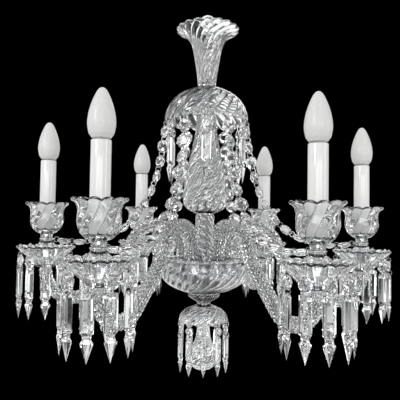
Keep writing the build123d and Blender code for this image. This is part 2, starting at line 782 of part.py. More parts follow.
def strand_walk(dip):
    """Hole points at the links' own spacing along a curve that dips by the given amount."""
    (r0, z0), (r3, z3) = strand_ends()
    handles = [(r0, z0), (r0 + strand_top_lean, z0 - dip),
               (r3 - strand_foot_reach, z3 - strand_foot_share * dip), (r3, z3)]

    def curve(t):
        weights = [(1 - t)**3, 3 * t * (1 - t)**2, 3 * t**2 * (1 - t), t**3]
        return Vector(*(sum(w * h[axis] for w, h in zip(weights, handles)) for axis in (0, 1)))

    steps = strand_steps()
    points = [curve(0)]
    here = 0.0
    for step in range(2 * strand_octagons()):
        low, high = here, 1.5
        for _ in range(40):
            middle = (low + high) / 2
            near = (curve(middle) - points[-1]).length < steps[step % 2]
            low, high = (middle, high) if near else (low, middle)
        here = low
        points.append(curve(here))
    left = (curve(1) - points[-1]).length
    return points, (left if here < 1 else -left) - steps[0]


def strand_points():
    """The hole points of the strand that just reaches from end to end."""
    low, high = 0.0, 3 * (strand_ends()[0][1] - strand_ends()[1][1])
    for _ in range(40):
        dip = (low + high) / 2
        low, high = (low, dip) if strand_walk(dip)[1] > 0 else (dip, high)
    return strand_walk(dip)[0] + [Vector(*strand_ends()[1])]


def make_strand():
    points = strand_points()
    crystal = octagon(strand_octagon)
    ring = link_ring(octagon_gap + 2 * octagon_hole_inset)
    solids = []
    for place, (upper, lower) in enumerate(zip(points, points[1:])):
        run = upper - lower
        centre = (upper + lower) / 2
        lean = Vector(0, 1).get_signed_angle(run)
        stock = crystal if place % 2 else ring
        solids.append(Pos(centre.X, 0, centre.Y) * Rot(0, lean, 0) * stock)
    return solids


def make_dome_drop():
    """Ring and pendant in the plane of an arm, hung from a hole in the dome's rim."""
    span = octagon_gap + 2 * octagon_hole_inset
    top = Pos(dome_radius - glass_wall / 2, 0, dome_rim + rim_hole_inset)
    shape = prism(prism_width, prism_depth, prism_body, prism_notch, prism_spear)
    solids = [top * Pos(0, 0, -span / 2) * link_ring(span)]
    return solids + [top * Pos(0, 0, -span) * solid for solid in pendant(drop_octagon, shape)]


def make_bobeche_drop():
    """Pin and pendant, made on the axis of the candle, hung from a hole in the bobeche."""
    wall = bobeche_wall * sqrt(2)
    level = bobeche_foot + bobeche_line[-1][1] * bobeche_height
    head = level + wall + (pin_head_radius + seat_gap) * sqrt(2)
    hole = head - pin_shank - 2 * pin_eye_radius + ring_bite
    shape = prism(prism_width, prism_depth, prism_body, prism_notch, prism_spear)
    solids = [Pos(bobeche_drop_radius, 0, head) * eye_pin()]
    for solid in pendant(drop_octagon, shape):
        solids.append(Pos(bobeche_drop_radius, 0, hole) * solid)
    return solids


def make_bell_drops():
    span = octagon_gap + 2 * octagon_hole_inset
    top = Pos(bell_rim_radius - glass_wall / 2, 0, bell_rim + rim_hole_inset)
    shape = prism(bell_prism_width, bell_prism_depth, bell_prism_body,
                  bell_prism_notch, bell_prism_spear)
    one = [top * Pos(0, 0, -span / 2) * link_ring(span)]
    one += [top * Pos(0, 0, -span) * solid for solid in pendant(bell_octagon, shape)]
    angles = [step * 360 / bell_drop_count for step in range(bell_drop_count)]
    return [Rot(0, 0, angle - 90) * solid for angle in angles for solid in one]


# --- Write every node -----------------------------------------------------
save("hanging_loop", make_hanging_loop())
save("central_rod", make_rod())
save("rod_fittings", make_rod_fittings())
save("crown_trumpet", make_trumpet())
save("canopy_dome", make_dome())
save("baluster", make_baluster())
save("stem_column", make_stem())
save("arm_hub", make_hub())
save("bowl", make_bowl())
save("neck_dish", make_neck_dish())
save("lower_bell", make_bell())
save("finial", make_finial())
save("bell_drops", make_bell_drops())
save("arm_ferrules", make_ferrules())

arm, lead = make_arm(), make_lead()
bobeche, cup = make_bobeche(), make_cup()
holder, sleeve, bulb = make_lampholder(), make_sleeve(), make_bulb()
strand, dome_drop, bobeche_drop = make_strand(), make_dome_drop(), make_bobeche_drop()

fittings, holders, wiring, drops = [], [], [make_terminal()], []
for number, (azimuth, turn) in enumerate(zip(azimuths, bobeche_turns), start=1):
    save(f"arm_{number}", in_arm_plane(arm, azimuth))
    save(f"bobeche_{number}", at_candle(Rot(0, 0, turn) * bobeche, azimuth))
    save(f"cup_{number}", at_candle(cup, azimuth))
    save(f"sleeve_{number}", at_candle(sleeve, azimuth))
    save(f"bulb_{number}", [at_candle(solid, azimuth) for solid in bulb])
    save(f"strand_{number}", [in_arm_plane(solid, azimuth) for solid in strand])
    between = azimuth - 180 / arm_count
    save(f"dome_drop_{number}", [in_arm_plane(solid, between) for solid in dome_drop])
    fittings += make_candle_fittings(azimuth)
    holders.append(at_candle(holder, azimuth))
    wiring.append(in_arm_plane(lead, azimuth))
    for angle in bobeche_drop_angles(azimuth, turn):
        drops += [at_candle(Rot(0, 0, angle - 90) * solid, azimuth) for solid in bobeche_drop]

save("candle_fittings", fittings)
save("lampholders", holders)
save("wiring", wiring)
save("bobeche_drops", drops)
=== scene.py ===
from math import atan2, cos, pi, radians, sin, sqrt

import bpy
import numpy as np
from mathutils import Matrix, Vector


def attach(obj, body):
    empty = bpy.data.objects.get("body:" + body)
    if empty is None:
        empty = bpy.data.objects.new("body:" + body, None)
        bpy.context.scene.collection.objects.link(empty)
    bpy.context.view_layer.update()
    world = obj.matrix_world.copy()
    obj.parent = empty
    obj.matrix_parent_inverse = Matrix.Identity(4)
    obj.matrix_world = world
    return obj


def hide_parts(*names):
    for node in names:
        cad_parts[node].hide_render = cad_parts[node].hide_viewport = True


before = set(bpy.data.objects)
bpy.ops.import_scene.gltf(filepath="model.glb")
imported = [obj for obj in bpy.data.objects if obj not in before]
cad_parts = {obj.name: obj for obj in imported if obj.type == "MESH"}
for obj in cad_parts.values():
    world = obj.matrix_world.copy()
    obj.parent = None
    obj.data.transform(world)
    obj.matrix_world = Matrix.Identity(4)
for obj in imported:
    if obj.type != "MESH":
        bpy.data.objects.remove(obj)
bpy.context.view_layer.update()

# Lengths are in millimetres until a mesh is made. Azimuths are in degrees from the
# front (-Y) towards +X. Heights are measured from the centre of the hanging eye.
MM = 0.001
AZIMUTHS = [30, 90, 150, 210, 270, 330]
CANDLE_RADIUS = 265.0

# The angle in degrees between two faces above which their edge is left sharp.
FACETED, MOULDED, SMOOTH = 5, 32, 50


# --- Shapes -----------------------------------------------------------------
class Shape:
    """Points and faces gathered for one piece."""

    def __init__(self):
        self.points = []
        self.faces = []
        self.slots = []

    def add(self, points, faces, slots=None):
        """Add points and faces, in the first material slot unless slots are given."""
        start = len(self.points)
        self.points += [tuple(point) for point in points]
        self.faces += [tuple(start + corner for corner in face) for face in faces]
        self.slots += slots or [0] * len(faces)
        return self

    def add_shape(self, other, matrix=None, slot=None):
        """Add another shape, moved by a matrix or put in another material slot."""
        points = other.points
        if matrix is not None:
            points = [matrix @ Vector(point) for point in points]
        slots = other.slots if slot is None else [slot] * len(other.faces)
        return self.add(points, other.faces, slots)


def piece(name, shape, materials, body, nodes, angle=MOULDED):
    """Make the mesh object with its materials, shade it, tie it to its body and hide its nodes."""
    mesh = bpy.data.meshes.new(name)
    mesh.from_pydata([[c * MM for c in point] for point in shape.points], [], shape.faces)
    for material in materials:
        mesh.materials.append(material)
    mesh.polygons.foreach_set("material_index", shape.slots)
    mesh.validate()
    mesh.shade_smooth()
    mesh.set_sharp_from_angle(angle=radians(angle))
    mesh.update()
    made = bpy.data.objects.new(name, mesh)
    bpy.context.scene.collection.objects.link(made)
    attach(made, body)
    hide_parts(*nodes)


def spline(points, per_span):
    """Points on a smooth curve through the given ones."""
    p = [np.array(point, float) for point in points]
    p = [2 * p[0] - p[1]] + p + [2 * p[-1] - p[-2]]
    out = []
    for a, b, c, d in zip(p, p[1:], p[2:], p[3:]):
        for step in range(per_span):
            t = step / per_span
            out.append(0.5 * (2 * b + (c - a) * t + (2 * a - 5 * b + 4 * c - d) * t * t
                              + (3 * b - a - 3 * c + d) * t**3))
    return out + [p[-2]]


def inset(line, wall):
    """A turned line moved square to itself, towards its left."""
    out = []
    for place, (r, z) in enumerate(line):
        before, after = line[max(place - 1, 0)], line[min(place + 1, len(line) - 1)]
        run = np.array(after) - np.array(before)
        run = run / np.linalg.norm(run)
        out.append((r - wall * run[1], z + wall * run[0]))
    return out


RIM_SWELL = 1.3
RIM_POINTS = 9
RIM_GAP = 0.15


def rounded(outer, inner):
    """The two lines with their ends joined by a rolled rim, a little thicker than the wall."""
    a, b = np.array(outer[-1], float), np.array(inner[-1], float)
    run = a - np.array(outer[-2], float)
    run = run / np.linalg.norm(run)
    out = (a - b) / np.linalg.norm(a - b)
    size = np.linalg.norm(a - b) / 2 * RIM_SWELL
    centre = (a + b) / 2 - run * size
    start = -np.arccos(1 / RIM_SWELL)
    rim = [tuple(centre + size * (out * cos(t) + run * sin(t)))
           for t in np.linspace(start, pi - start, RIM_POINTS)]
    lines = []
    for line in (outer, inner):
        lines.append([point for point in line
                      if (np.array(point) - centre).dot(run) < size * (sin(start) - RIM_GAP)])
    middle = RIM_POINTS // 2
    return lines[0] + rim[:middle + 1], lines[1] + rim[:middle:-1]


def arc_share(line):
    """How far along the line each point lies, from 0 to 1."""
    steps = [0.0]
    for a, b in zip(line, line[1:]):
        steps.append(steps[-1] + float(np.hypot(b[0] - a[0], b[1] - a[1])))
    return [step / steps[-1] for step in steps]


LOBE_ROUND = 0.95


def lobe(t):
    """The height of a rounded rib or lobe from 0 at its edges (t = -1, 1) to 1 at its middle."""
    low = sqrt(1 - LOBE_ROUND * LOBE_ROUND)
    return (sqrt(1 - (LOBE_ROUND * t)**2) - low) / (1 - low)


def turned(rings, count, per_lobe, closed=True):
    """A turned skin with count ribs, each of per_lobe steps.

    A ring is (radius, height, rib depth, lobe rise, turn in degrees). A skin that isn't closed
    from its last ring to its first is capped at both."""
    steps = count * per_lobe
    points, faces = [], []
    for r, z, depth, rise, turn in rings:
        for step in range(steps):
            t = ((step + per_lobe / 2) % per_lobe) / per_lobe * 2 - 1
            low = 1 - lobe(t)
            a = 2 * pi * step / steps + radians(turn)
            reach = r - depth * low
            points.append((reach * sin(a), -reach * cos(a), z + rise * low))
    total = len(rings)
    for ring in range(total if closed else total - 1):
        after = (ring + 1) % total
        for step in range(steps):
            nxt = (step + 1) % steps
            faces.append((ring * steps + step, ring * steps + nxt,
                          after * steps + nxt, after * steps + step))
    if not closed:
        faces.append(tuple(range(steps))[::-1])
        faces.append(tuple(range((total - 1) * steps, total * steps)))
    return Shape().add(points, faces)


def ringed(line, rib, turn, rise=lambda share: 0):
    """The rings along a line. rib, turn and rise are functions of the share of the way along."""
    return [(r, z, rib(share), rise(share), turn(share))
            for share, (r, z) in zip(arc_share(line), line)]


def faded(from_rim, least, rate=18):
    """The part of the outside ribs that the inside shows: all at the rim, little further in."""
    return max(least, 1 - rate * from_rim)


def shell(outer, inner, bore, rib, rise, turn, count, per_lobe, inner_rib):
    """A closed turned vessel: outside line up, inside line down, and a bore through its floor."""
    outer, inner = rounded(outer, inner)
    rings = ringed(outer, rib, turn, rise)
    rings += ringed(inner, lambda share: faded(1 - share, inner_rib) * rib(share),
                    turn, rise)[::-1]
    first, last = rings[0], rings[-1]
    rings.append((bore, last[1], 0.0, 0.0, last[4]))
    rings.append((bore, first[1], 0.0, 0.0, first[4]))
    return turned(rings, count, per_lobe)


def ramp(*marks):
    """A function of share that runs straight between (share, value) marks."""
    xs, ys = [m[0] for m in marks], [m[1] for m in marks]
    return lambda share: float(np.interp(share, xs, ys))


def torus(radius, wire, around=20, section=6):
    """A wire ring in the XZ plane."""
    points, faces = [], []
    for i in range(around):
        a = 2 * pi * i / around
        for j in range(section):
            b = 2 * pi * j / section
            reach = radius + wire * cos(b)
            points.append((reach * cos(a), wire * sin(b), reach * sin(a)))
    for i in range(around):
        for j in range(section):
            k, m = (i + 1) % around, (j + 1) % section
            faces.append((i * section + j, i * section + m, k * section + m, k * section + j))
    return Shape().add(points, faces)


def ball(radius, rows=8, around=14):
    """A round bead about the origin."""
    points = [(0, 0, -radius)]
    for row in range(1, rows):
        a = pi * row / rows
        for step in range(around):
            b = 2 * pi * step / around
            points.append((radius * sin(a) * cos(b), radius * sin(a) * sin(b),
                           -radius * cos(a)))
    points.append((0, 0, radius))
    faces = []
    for step in range(around):
        nxt = (step + 1) % around
        faces.append((0, 1 + nxt, 1 + step))
        for row in range(rows - 2):
            a, b = 1 + row * around, 1 + (row + 1) * around
            faces.append((a + step, a + nxt, b + nxt, b + step))
        top = 1 + (rows - 2) * around
        faces.append((top + step, top + nxt, len(points) - 1))
    return Shape().add(points, faces)


def bar(radius, low, high, sides):
    """A short round wire along Z."""
    points, faces = [], []
    for z in (low, high):
        for step in range(sides):
            a = 2 * pi * step / sides
            points.append((radius * cos(a), radius * sin(a), z))
    for step in range(sides):
        nxt = (step + 1) % sides
        faces.append((step, nxt, sides + nxt, sides + step))
    faces.append(tuple(range(sides))[::-1])
    faces.append(tuple(range(sides, 2 * sides)))
    return Shape().add(points, faces)


def skinned(rings):
    """A closed faceted solid through rings of corners.

    Two rings that differ in phase are joined by triangles."""
    points, faces, starts = [], [], []
    for ring in rings:
        starts.append(len(points))
        points += [tuple(corner) for corner in ring["corners"]]
    for (a, low), (b, high) in zip(zip(starts, rings), zip(starts[1:], rings[1:])):
        n = max(len(low["corners"]), len(high["corners"]))
        for step in range(n):
            nxt = (step + 1) % n
            if len(low["corners"]) == 1:
                faces.append((a, b + nxt, b + step))
            elif len(high["corners"]) == 1:
                faces.append((a + step, a + nxt, b))
            elif low["half"] == high["half"]:
                faces.append((a + step, a + nxt, b + nxt, b + step))
            elif high["half"]:
                faces.append((a + step, a + nxt, b + step))
                faces.append((a + nxt, b + nxt, b + step))
            else:
                faces.append((a + step, b + nxt, b + step))
                faces.append((a + step, a + nxt, b + nxt))
    if len(rings[0]["corners"]) > 1:
        faces.append(tuple(range(len(rings[0]["corners"])))[::-1])
    if len(rings[-1]["corners"]) > 1:
        faces.append(tuple(starts[-1] + step for step in range(len(rings[-1]["corners"]))))
    return Shape().add(points, faces)


HOLE_RADIUS = 1.2
HOLE_REACH = 15.0
HOLE_SIDES = 12


def drilled(shape, holes):
    """The shape with small holes cut through it from front to back, at the given heights."""
    def blank(name, source):
        mesh = bpy.data.meshes.new(name)
        mesh.from_pydata(source.points, [], source.faces)
        made = bpy.data.objects.new(name, mesh)
        bpy.context.scene.collection.objects.link(made)
        return made
    body = blank("crystal_blank", shape)
    drills = Shape()
    for z in holes:
        across = Matrix.Translation((0, 0, z)) @ Matrix.Rotation(pi / 2, 4, "Y")
        drills.add_shape(bar(HOLE_RADIUS, -HOLE_REACH, HOLE_REACH, HOLE_SIDES), across)
    tool = blank("crystal_drill", drills)
    cut = body.modifiers.new("cut", "BOOLEAN")
    cut.operation, cut.solver, cut.object = "DIFFERENCE", "EXACT", tool
    finished = body.evaluated_get(bpy.context.evaluated_depsgraph_get())
    ready = finished.to_mesh()
    out = Shape().add([tuple(v.co) for v in ready.vertices],
                      [tuple(p.vertices) for p in ready.polygons])
    finished.to_mesh_clear()
    for item in (body, tool):
        mesh = item.data
        bpy.data.objects.remove(item)
        bpy.data.meshes.remove(mesh)
    return out


# --- Crystals, in the plane of an arm, outward along +X, hung along Z --------
def eight(inradius, x, half):
    """A regular ring of eight corners square to X, turned by half a side if half is set."""
    corner = inradius / cos(pi / 8)
    shift = pi / 8 * (2 if half else 1)
    return {"corners": [(x, corner * cos(shift + pi / 4 * s), corner * sin(shift + pi / 4 * s))
                        for s in range(8)], "half": half}


# From the crown inward to the table outward: the share of the half size that a ring
# measures, the share of the size it lies along X, and whether it is turned by half a side.
OCTAGON_RINGS = [(0.40, -0.255, False), (0.66, -0.19, True), (0.985, -0.045, False),
                 (1.0, 0.0, False), (0.985, 0.04, False), (0.76, 0.105, True),
                 (0.52, 0.138, False)]
HOLE_INSET = 2.0


def octagon(size):
    """A cut octagon: a raised crown of triangles inward, a low bevelled table outward."""
    half_size = size / 2
    rings = [eight(share * half_size, along * size, half) for share, along, half in OCTAGON_RINGS]
    return drilled(skinned(rings), (half_size - HOLE_INSET, HOLE_INSET - half_size))


FACE_SHARE = 0.56
SIDE_EDGE = 0.9


def section(width, depth, z):
    """An eight-cornered section: broad front and back facets, bevels, and thin side edges."""
    w, d, f = width / 2, depth / 2, width / 2 * FACE_SHARE
    e = SIDE_EDGE / 2
    return {"corners": [(e, w, z), (d, f, z), (d, -f, z), (e, -w, z),
                        (-e, -w, z), (-d, -f, z), (-d, f, z), (-e, w, z)], "half": False}


SHOULDER = 6.5
NOTCH_STEPS = 6
WAIST, WAIST_ROUND = 0.62, 0.7
PRISM_HOLE_DROP = 3.5


def prism(width, depth, body, notch, spear):
    """A cut prism: shouldered top, long body, round notched waist and a spear point."""
    rings = [section(width - 1.2, 2.4, 0), section(width, 3.2, -0.8),
             section(width, depth, -SHOULDER), section(width, depth, -body)]
    for step in range(1, NOTCH_STEPS):
        t = step / NOTCH_STEPS
        share = 1 - (1 - WAIST) * sin(pi * t)**WAIST_ROUND
        rings.append(section(width * share, depth * (0.75 * share + 0.2), -body - notch * t))
    rings.append(section(width, depth * 0.96, -body - notch))
    rings.append({"corners": [(0, 0, -body - notch - spear)], "half": False})
    return drilled(skinned(rings), (-PRISM_HOLE_DROP,))


STRAND_SIZE, DROP_SIZE, BELL_SIZE = 22.0, 18.0, 14.0
STRAND_OCTAGON = octagon(STRAND_SIZE)
DROP_OCTAGON = octagon(DROP_SIZE)
BELL_OCTAGON = octagon(BELL_SIZE)
LONG_PRISM_WIDTH = 15.5
LONG_PRISM = prism(LONG_PRISM_WIDTH, depth=7, body=44.5, notch=11, spear=23.5)
BELL_PRISM = prism(11.5, depth=6, body=36, notch=8, spear=17)


def spun(degrees):
    """A turn about Z."""
    return Matrix.Rotation(radians(degrees), 4, "Z")


def toward(azimuth):
    """The turn that carries +X to an azimuth."""
    return spun(azimuth - 90)


def at(x, z):
    """A move in the plane of an arm."""
    return Matrix.Translation((x, 0, z))


def candle(azimuth):
    """A move to the axis of a candle."""
    a = radians(azimuth)
    return Matrix.Translation((CANDLE_RADIUS * sin(a), -CANDLE_RADIUS * cos(a), 0))


def sway(seed, most):
    """A small repeatable turn about Z, as loose crystals hang."""
    return spun(most * sin(12.9898 * seed + 4.1))


# --- Materials ---------------------------------------------------------------
# The values between which most of a noise lies.
NOISE_LOW, NOISE_HIGH = 0.3, 0.7


def material(name):
    """A new material, its node tree and its shader."""
    made = bpy.data.materials.new(name)
    made.use_nodes = True
    tree = made.node_tree
    return made, tree, tree.nodes["Principled BSDF"]


def add_node(tree, kind, **values):
    """A new node with the given inputs or settings."""
    node = tree.nodes.new(kind)
    for key, value in values.items():
        if key in node.inputs:
            node.inputs[key].default_value = value
        else:
            setattr(node, key, value)
    return node


def noise(tree, scale, detail=2.0, stretch=None):
    """Noise over the piece's own coordinates, in metres."""
    where = add_node(tree, "ShaderNodeTexCoord").outputs["Object"]
    if stretch:
        mapping = add_node(tree, "ShaderNodeMapping")
        mapping.inputs["Scale"].default_value = stretch
        tree.links.new(where, mapping.inputs["Vector"])
        where = mapping.outputs["Vector"]
    texture = add_node(tree, "ShaderNodeTexNoise", Scale=scale, Detail=detail)
    tree.links.new(where, texture.inputs["Vector"])
    return texture.outputs["Fac"]


def ranged(tree, source, from_low, from_high, to_low, to_high, kind="LINEAR"):
    """A value mapped from one range to another."""
    node = add_node(tree, "ShaderNodeMapRange", interpolation_type=kind)
    for key, value in (("From Min", from_low), ("From Max", from_high),
                       ("To Min", to_low), ("To Max", to_high)):
        node.inputs[key].default_value = value
    tree.links.new(source, node.inputs["Value"])
    return node.outputs["Result"]


def spread(tree, source, low, high):
    """A noise mapped to a range."""
    return ranged(tree, source, NOISE_LOW, NOISE_HIGH, low, high)


def tint(tree, source, low, high):
    """A noise mapped to a run between two colours."""
    node = add_node(tree, "ShaderNodeValToRGB")
    first, last = node.color_ramp.elements
    first.color, last.color = low, high
    first.position, last.position = NOISE_LOW, NOISE_HIGH
    tree.links.new(source, node.inputs["Fac"])
    return node.outputs["Color"]


def bumped(tree, shader, source, strength, distance):
    """Relief too fine to model, at a distance in metres."""
    node = add_node(tree, "ShaderNodeBump", Strength=strength, Distance=distance)
    tree.links.new(source, node.inputs["Height"])
    tree.links.new(node.outputs["Normal"], shader.inputs["Normal"])


LEAD_GLASS_IOR = 1.52
CLEAR = (1, 1, 1, 1)
FAINT = (0.965, 0.98, 0.985, 1)
FLAT_POINTINESS = 0.5
# The colour sockets of a Mix node, which share their names with its other sockets.
MIX_FACTOR, MIX_A, MIX_B, MIX_RESULT = 0, 6, 7, 2


def crystal(name, ripple, scale, rough, groove_shade):
    """Clear lead glass with faint waves left by the mould or the cutting wheel, and painted
    shade that greys its base colour in its valleys and grooves.

    The last argument is the pointiness below which that painted shade is darkest, and that grey."""
    made, tree, shader = material(name)
    shader.inputs["Transmission Weight"].default_value = 1.0
    shader.inputs["IOR"].default_value = LEAD_GLASS_IOR
    shader.inputs["Specular IOR Level"].default_value = 0.5
    wave = noise(tree, scale)
    # Painted shade: the base colour turns grey where the surface is concave, in valleys and
    # grooves.
    pointed = add_node(tree, "ShaderNodeNewGeometry").outputs["Pointiness"]
    greyest, grey = groove_shade
    painted_valley_shade = ranged(tree, pointed, greyest, FLAT_POINTINESS, grey, 1.0)
    both = add_node(tree, "ShaderNodeMix", data_type="RGBA", blend_type="MULTIPLY")
    both.inputs[MIX_FACTOR].default_value = 1.0
    tree.links.new(tint(tree, noise(tree, 35.0), FAINT, CLEAR), both.inputs[MIX_A])
    tree.links.new(painted_valley_shade, both.inputs[MIX_B])
    tree.links.new(both.outputs[MIX_RESULT], shader.inputs["Base Color"])
    tree.links.new(spread(tree, wave, 0.0, rough), shader.inputs["Roughness"])
    bumped(tree, shader, wave, ripple, 0.0006)
    return made


def metal(name, dark, light, rough, scale, stretch=None):
    """Polished or brushed metal, its grain between two colours and two roughnesses."""
    made, tree, shader = material(name)
    shader.inputs["Metallic"].default_value = 1.0
    grain = noise(tree, scale, 4.0, stretch)
    tree.links.new(tint(tree, grain, dark, light), shader.inputs["Base Color"])
    tree.links.new(spread(tree, grain, *rough), shader.inputs["Roughness"])
    bumped(tree, shader, grain, 0.15, 0.0002)
    return made


def solid(name, dark, light, rough, scale, ripple=0.05, coat=0.0):
    """Plastic, lead or frosted glass, with a clear coat if coat is more than 0."""
    made, tree, shader = material(name)
    grain = noise(tree, scale, 3.0)
    tree.links.new(tint(tree, grain, dark, light), shader.inputs["Base Color"])
    tree.links.new(spread(tree, grain, *rough), shader.inputs["Roughness"])
    shader.inputs["Coat Weight"].default_value = coat
    shader.inputs["Coat Roughness"].default_value = 0.05
    bumped(tree, shader, grain, ripple, 0.0003)
    return made


# The last argument of each glass sets the painted shade in its valleys and grooves.
moulded_glass = crystal("moulded_glass", ripple=0.12, scale=90.0, rough=0.03,
                        groove_shade=(0.44, 0.40))
cut_glass = crystal("cut_glass", ripple=0.06, scale=60.0, rough=0.012, groove_shade=(0.44, 0.18))
nickel = metal("nickel", (0.66, 0.66, 0.68, 1), (0.82, 0.82, 0.84, 1),
               rough=(0.08, 0.2), scale=220.0)
steel = metal("plated_steel", (0.48, 0.48, 0.5, 1), (0.62, 0.62, 0.64, 1),
              rough=(0.22, 0.38), scale=300.0, stretch=(1, 1, 0.06))
brass_cap = metal("bulb_cap_metal", (0.62, 0.6, 0.56, 1), (0.76, 0.74, 0.7, 1),
                  rough=(0.25, 0.4), scale=260.0)
sleeve_white = solid("sleeve_white", (0.88, 0.88, 0.87, 1), (0.93, 0.93, 0.92, 1),
                     rough=(0.12, 0.2), scale=30.0, ripple=0.03, coat=0.6)
frosted = solid("frosted_glass", (0.74, 0.74, 0.73, 1), (0.82, 0.82, 0.81, 1),
                rough=(0.3, 0.42), scale=500.0, coat=0.15)
holder_black = solid("holder_plastic", (0.02, 0.02, 0.02, 1), (0.05, 0.05, 0.05, 1),
                     rough=(0.35, 0.5), scale=400.0)
lead_grey = solid("lead_sheath", (0.20, 0.20, 0.20, 1), (0.30, 0.30, 0.30, 1),
                  rough=(0.3, 0.45), scale=300.0)

for name, finish in (("hanging_loop", nickel), ("central_rod", steel), ("rod_fittings", nickel),
                     ("arm_hub", steel), ("arm_ferrules", nickel), ("candle_fittings", nickel),
                     ("lampholders", holder_black), ("wiring", lead_grey)):
    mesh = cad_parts[name].data
    mesh.materials.clear()
    mesh.materials.append(finish)

# --- Central glass column ----------------------------------------------------
# A line is a list of (radius, height) points.
ROD_BORE = 5.6
GLASS_WALL = 3.5
END_WALL = 5  # where a vessel is closed round the rod


def raised(line, foot, height):
    """Points whose heights are shares of a height, set on a foot."""
    return [(r, foot + share * height) for r, share in line]


def make_trumpet():
    foot, high = -109.0, 97.0
    line = [(15.0, foot)] + raised([(18.0, 0.26), (22.0, 0.51), (25.7, 0.70), (31.5, 0.83),
                                    (42.0, 0.93)], foot, high) + [(54.0, foot + high)]
    outer = spline(line, 6)
    inner = [point for point in inset(outer, GLASS_WALL) if point[1] > foot + END_WALL]
    inner[0] = (inner[0][0], foot + END_WALL)
    rib = ramp((0, 1.6), (0.5, 2.4), (0.8, 3.4), (1, 6.0))
    rise = ramp((0, 0), (0.85, 0), (1, -2.6))
    turn = ramp((0, -115), (0.7, -38), (1, 0))
    return shell(outer, inner, ROD_BORE, rib, rise, turn, 18, 8, inner_rib=0.45)


def make_dome():
    rim, shoulder, top = -172.5, -165.5, -110.5
    radius, neck, top_turn = 70, 16.0, 95
    outer, inner = [], []
    for angle in (73, 67, 60, 52, 44, 36, 28, 20, 12, 6, 2):
        a = radians(angle)
        outer.append((radius * cos(a), shoulder + 55 * sin(a)))
        inner.append(((radius - GLASS_WALL) * cos(a), shoulder + 50 * sin(a)))
    outer, inner = rounded(outer + [(radius, rim)], inner + [(radius - GLASS_WALL, rim)])
    outer, inner = outer[::-1] + [(neck, top)], inner[::-1] + [(neck, top - END_WALL)]
    rib = ramp((0, 2.0), (0.15, 2.4), (0.7, 2.0), (1, 0.4))
    rise = ramp((0, 7.0), (0.07, 5.6), (0.16, 2.2), (0.25, 0), (1, 0))
    turn = ramp((0, 0), (0.3, 14), (0.7, 48), (1, top_turn))
    rings = ringed(outer, rib, turn, rise)
    rings.append((ROD_BORE, top, 0, 0, top_turn))
    rings.append((ROD_BORE, top - END_WALL, 0, 0, top_turn))
    rings += ringed(inner, lambda share: faded(share, 0.15) * rib(share), turn, rise)[::-1]
    return turned(rings, 24, 8)


def make_baluster():
    foot, high = -325.0, 208.0
    foot_turn, top_turn = -120, 80
    line = [(15.0, foot)] + raised([(33.0, 0.05), (37.5, 0.13), (31.0, 0.36), (19.6, 0.62),
                                    (17.0, 0.77)], foot, high) + [(14.0, foot + high)]
    outer = spline(line, 7)
    inner = [point for point in inset(outer, GLASS_WALL)
             if foot + END_WALL < point[1] < foot + high - END_WALL]
    inner = ([(max(inner[0][0] - 5, 12.0), foot + END_WALL)] + inner
             + [(10.5, foot + high - END_WALL)])
    rib = ramp((0, 0.4), (0.12, 2.0), (0.3, 2.4), (0.6, 1.8), (1, 1.2))
    turn = ramp((0, foot_turn), (0.15, -95), (0.4, -40), (0.7, 25), (1, top_turn))
    rings = ringed(outer, rib, turn)
    rings.append((ROD_BORE, foot + high, 0, 0, top_turn))
    rings.append((ROD_BORE, foot + high - END_WALL, 0, 0, top_turn))
    rings += ringed(inner, lambda share: 0.0, turn)[::-1]
    rings.append((ROD_BORE, foot + END_WALL, 0, 0, foot_turn))
    rings.append((ROD_BORE, foot, 0, 0, foot_turn))
    return turned(rings, 16, 6)


def make_stem():
    low, high, steps = -399.0, -326.5, 24
    radius, bore, bevel = 16.0, 6.2, 0.9
    rib, foot_turn, top_turn = 2.3, 60, -110
    rings = []
    for step in range(steps + 1):
        t = step / steps
        end = bevel if step in (0, steps) else 0.0
        rings.append((radius - end, low + t * (high - low), rib, 0,
                      foot_turn + (top_turn - foot_turn) * t))
    rings.append((bore, high, 0, 0, top_turn))
    rings.append((bore, low, 0, 0, foot_turn))
    return turned(rings, 12, 8)


def make_bowl():
    foot, high = -457.0, 58.0
    line = [(26.0, foot)] + raised([(46.5, 0.12), (66.0, 0.33), (71.5, 0.55), (71.5, 0.75)],
                                   foot, high) + [(68.6, foot + high - 1.2), (68.0, foot + high)]
    outer = spline(line, 6)
    inner = [point for point in inset(outer, GLASS_WALL) if point[1] > foot + END_WALL]
    inner = [(26.0, foot + END_WALL)] + inner
    rib = ramp((0, 0.6), (0.2, 2.6), (0.68, 3.0), (0.78, 0.5), (0.93, 0.4), (1, 1.2))
    rise = ramp((0, 0), (0.9, 0), (1, -0.9))
    turn = ramp((0, -58), (0.3, -30), (0.8, 0), (1, 0))
    return shell(outer, inner, ROD_BORE, rib, rise, turn, 28, 6, inner_rib=-0.45)


def make_neck_dish():
    foot, high = -474.0, 15.5
    line = [(10.8, foot)] + raised([(13.5, 0.22), (21.0, 0.48), (26.0, 0.76)], foot, high)
    outer = spline(line, 4) + [(26.3, foot + 0.84 * high), (25.6, foot + 0.97 * high),
                               (24.8, foot + high)]
    rings = [(r, z, 0.5 * min(1.0, r / 26), 0, 30 * share)
             for share, (r, z) in zip(arc_share(outer), outer)]
    rings += [(ROD_BORE, foot + high, 0, 0, 30), (ROD_BORE, foot, 0, 0, 0)]
    return turned(rings, 24, 4)


